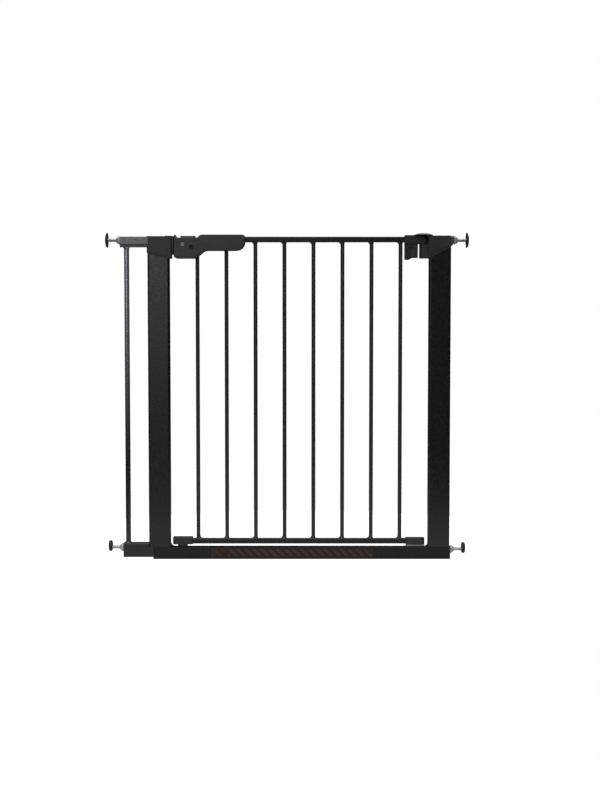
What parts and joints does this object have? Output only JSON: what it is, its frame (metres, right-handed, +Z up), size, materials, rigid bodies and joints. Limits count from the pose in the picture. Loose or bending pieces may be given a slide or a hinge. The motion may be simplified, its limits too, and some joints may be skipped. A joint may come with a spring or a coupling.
{
  "type": "pressure-mounted safety gate",
  "caption": "Pressure-fit child safety gate: steel frame with a lift-and-swing barred leaf, sliding latch lock, side extension and screw spindles with rubber wall pads.",
  "frame": {"origin": "middle of the threshold bar's underside, half-way between the two posts", "axes": "+X across the opening towards the hinge post, +Y through the doorway away from the lock's face, +Z up"},
  "size_m": [0.818, 0.043, 0.7383],
  "materials": {
    "frame_paint": "fine-textured charcoal powder coat",
    "leaf_paint": "fine-textured charcoal powder coat",
    "extension_paint": "satin slate powder coat",
    "extension_plastic": "moulded slate nylon",
    "frame_plastic": "moulded charcoal nylon, fine grain",
    "leaf_plastic": "moulded charcoal nylon, fine grain",
    "handle_plastic": "moulded charcoal ABS, fine grain",
    "indicator_plastic": "moulded mid-grey",
    "zinc_steel": "bright zinc plate",
    "pad_rubber": "moulded black rubber",
    "nylon": "natural nylon",
    "strip_film": "printed film, plain pattern"
  },
  "bodies": {
    "frame": {"threshold_bar": "frame_paint", "threshold_plug_left": "frame_plastic", "threshold_cap_right": "frame_plastic", "left_post": "frame_paint", "right_post": "frame_paint", "post_gussets": "frame_paint", "left_fitting": "frame_plastic", "keeper_plate": "frame_plastic", "right_fitting": "frame_plastic", "fitting_screws": "zinc_steel", "spindle_collar": "extension_plastic", "upper_hinge_pin": "zinc_steel", "lower_hinge_pin": "zinc_steel", "lower_hinge_seat": "frame_plastic", "threshold_strip": "strip_film", "extension_top_tube": "extension_paint", "extension_bottom_tube": "extension_paint", "extension_bar": "extension_paint", "extension_top_plug": "extension_plastic", "extension_bottom_plug": "extension_plastic", "extension_top_spigot": "zinc_steel", "extension_bottom_spigot": "zinc_steel"},
    "hinge_bushes": {"upper_hinge_bush": "nylon", "lower_hinge_bush": "nylon"},
    "leaf": {"leaf_top_rail": "leaf_paint", "leaf_bottom_rail": "leaf_paint", "bar_1": "leaf_paint", "bar_2": "leaf_paint", "bar_3": "leaf_paint", "bar_4": "leaf_paint", "bar_5": "leaf_paint", "bar_6": "leaf_paint", "bar_7": "leaf_paint", "bar_8": "leaf_paint", "weld_beads": "leaf_paint", "handle_front": "handle_plastic", "handle_rear": "handle_plastic", "handle_screws": "zinc_steel", "indicator": "indicator_plastic", "detent_spring": "zinc_steel", "hinge_arm": "leaf_plastic", "hinge_cap": "leaf_plastic", "hinge_leg": "leaf_plastic", "lower_hinge_block": "leaf_plastic", "latch_foot": "leaf_plastic"},
    "lock": {"thumb_slide": "handle_plastic", "lock_bolt": "zinc_steel"},
    "nut_top_left": {"nut_top_left": "zinc_steel"},
    "spindle_top_left": {"rod_top_left": "zinc_steel", "pad_top_left": "pad_rubber"},
    "nut_bottom_left": {"nut_bottom_left": "zinc_steel"},
    "spindle_bottom_left": {"rod_bottom_left": "zinc_steel", "pad_bottom_left": "pad_rubber"},
    "nut_top_right": {"nut_top_right": "zinc_steel"},
    "spindle_top_right": {"rod_top_right": "zinc_steel", "pad_top_right": "pad_rubber"},
    "nut_bottom_right": {"nut_bottom_right": "zinc_steel"},
    "spindle_bottom_right": {"rod_bottom_right": "zinc_steel", "pad_bottom_right": "pad_rubber"}
  },
  "joints": [
    {"name": "gate_lift", "type": "slide", "parent": "frame", "child": "hinge_bushes", "axis": [0, 0, 1], "range_m": [0, 0.008]},
    {"name": "gate_swing", "type": "hinge", "parent": "hinge_bushes", "child": "leaf", "pos_m": [0.279, 0, 0.35], "axis": [0, 0, 1], "range_deg": [-90, 90]},
    {"name": "lock_slide", "type": "slide", "parent": "leaf", "child": "lock", "axis": [-1, 0, 0], "range_m": [0, 0.007]},
    {"name": "nut_turn_top_left", "type": "hinge", "parent": "frame", "child": "nut_top_left", "pos_m": [-0.4115, 0, 0.721], "axis": [1, 0, 0], "range_deg": [-4035, 4611]},
    {"name": "spindle_slide_top_left", "type": "slide", "parent": "frame", "child": "spindle_top_left", "axis": [-1, 0, 0], "range_m": [-0.014, 0.016]},
    {"name": "nut_turn_bottom_left", "type": "hinge", "parent": "frame", "child": "nut_bottom_left", "pos_m": [-0.408, 0, 0.0263], "axis": [1, 0, 0], "range_deg": [-4035, 4611]},
    {"name": "spindle_slide_bottom_left", "type": "slide", "parent": "frame", "child": "spindle_bottom_left", "axis": [-1, 0, 0], "range_m": [-0.014, 0.016]},
    {"name": "nut_turn_top_right", "type": "hinge", "parent": "frame", "child": "nut_top_right", "pos_m": [0.3565, 0, 0.721], "axis": [-1, 0, 0], "range_deg": [-4035, 4611]},
    {"name": "spindle_slide_top_right", "type": "slide", "parent": "frame", "child": "spindle_top_right", "axis": [1, 0, 0], "range_m": [-0.014, 0.016]},
    {"name": "nut_turn_bottom_right", "type": "hinge", "parent": "frame", "child": "nut_bottom_right", "pos_m": [0.352, 0, 0.0218], "axis": [-1, 0, 0], "range_deg": [-4035, 4611]},
    {"name": "spindle_slide_bottom_right", "type": "slide", "parent": "frame", "child": "spindle_bottom_right", "axis": [1, 0, 0], "range_m": [-0.014, 0.016]}
  ],
  "couplings": [
    {"joint": "nut_turn_top_left", "follows": "spindle_slide_top_left", "rad_per_m": 5026.5},
    {"joint": "nut_turn_bottom_left", "follows": "spindle_slide_bottom_left", "rad_per_m": 5026.5},
    {"joint": "nut_turn_top_right", "follows": "spindle_slide_top_right", "rad_per_m": 5026.5},
    {"joint": "nut_turn_bottom_right", "follows": "spindle_slide_bottom_right", "rad_per_m": 5026.5}
  ]
}
